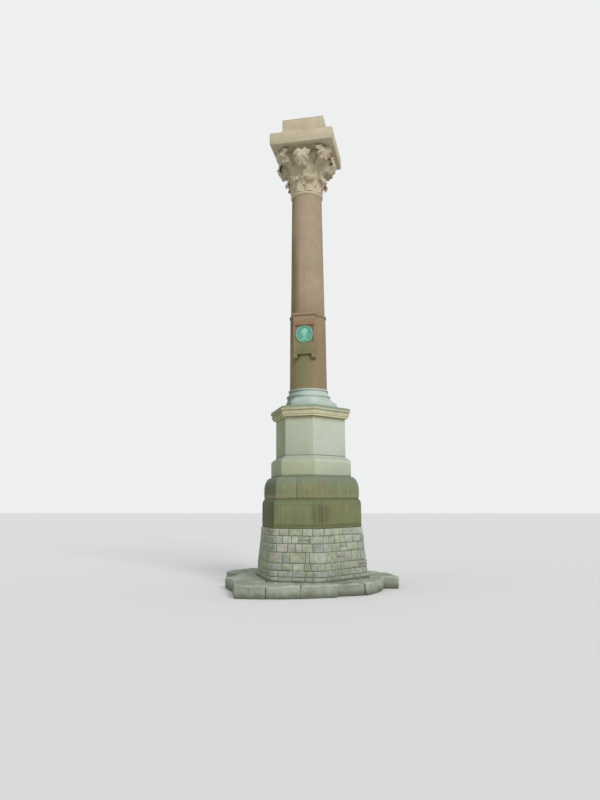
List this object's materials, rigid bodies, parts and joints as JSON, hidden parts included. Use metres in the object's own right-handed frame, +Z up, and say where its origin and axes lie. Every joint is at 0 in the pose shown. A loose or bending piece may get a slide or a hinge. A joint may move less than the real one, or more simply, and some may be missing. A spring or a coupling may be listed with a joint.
{
  "type": "memorial column on a six-sided base",
  "caption": "Memorial column: stepped six-sided stone base with a moulded die, a round tapering shaft with a tablet and bronze roundel, a leaf capital and a square abacus.",
  "frame": {"origin": "where the column's axis meets the ground, at the centre of the footing's underside", "axes": "+Z up along the column's axis, -Y towards the front, square to the base's short front side, and +X to the right seen from the front; the tablet is turned 5 degrees from -Y towards +X"},
  "size_m": [3.4666, 3.1414, 9.22],
  "materials": {
    "step_stone": "worn, moss-stained block stone, matt",
    "rubble_stone": "squared rubble of mixed grey, green and buff stone with thin joints, matt",
    "algae_stone": "smooth limestone under a green-brown film of algae, matt",
    "pale_stone": "smooth pale limestone with faint green staining, matt",
    "cream_stone": "smooth cream limestone, matt",
    "base_stone": "smooth pale grey stone, matt",
    "red_sandstone": "rubbed red-brown sandstone with fine grain, matt",
    "capital_stone": "carved cream and pinkish stone, matt",
    "bronze": "cast bronze under green verdigris"
  },
  "bodies": {
    "root": {"footing": "step_stone", "step_front": "step_stone", "step_front_right": "step_stone", "step_rear_right": "step_stone", "step_rear": "step_stone", "step_rear_left": "step_stone", "step_front_left": "step_stone", "rubble_base": "rubble_stone", "plain_stone_1": "algae_stone", "plain_stone_2": "algae_stone", "plain_stone_3": "algae_stone", "round_stone_1": "algae_stone", "round_stone_2": "algae_stone", "round_stone_3": "algae_stone", "round_stone_4": "algae_stone", "round_stone_5": "algae_stone", "round_stone_6": "algae_stone", "plinth_band": "pale_stone", "die": "pale_stone", "cornice": "cream_stone", "column_base": "base_stone", "lower_drum": "red_sandstone", "tablet": "red_sandstone", "tablet_cap": "red_sandstone", "left_corbel": "red_sandstone", "right_corbel": "red_sandstone", "roundel_plate": "bronze", "roundel_rim": "bronze", "roundel_head": "bronze", "ring_band": "red_sandstone", "upper_drum": "red_sandstone", "necking_ring": "capital_stone", "bell": "capital_stone", "low_leaves": "capital_stone", "side_leaf_1": "capital_stone", "side_leaf_2": "capital_stone", "side_leaf_3": "capital_stone", "side_leaf_4": "capital_stone", "corner_leaf_1": "capital_stone", "corner_leaf_2": "capital_stone", "corner_leaf_3": "capital_stone", "corner_leaf_4": "capital_stone", "abacus": "capital_stone", "abacus_block": "capital_stone", "weathering": "capital_stone"}
  },
  "joints": []
}
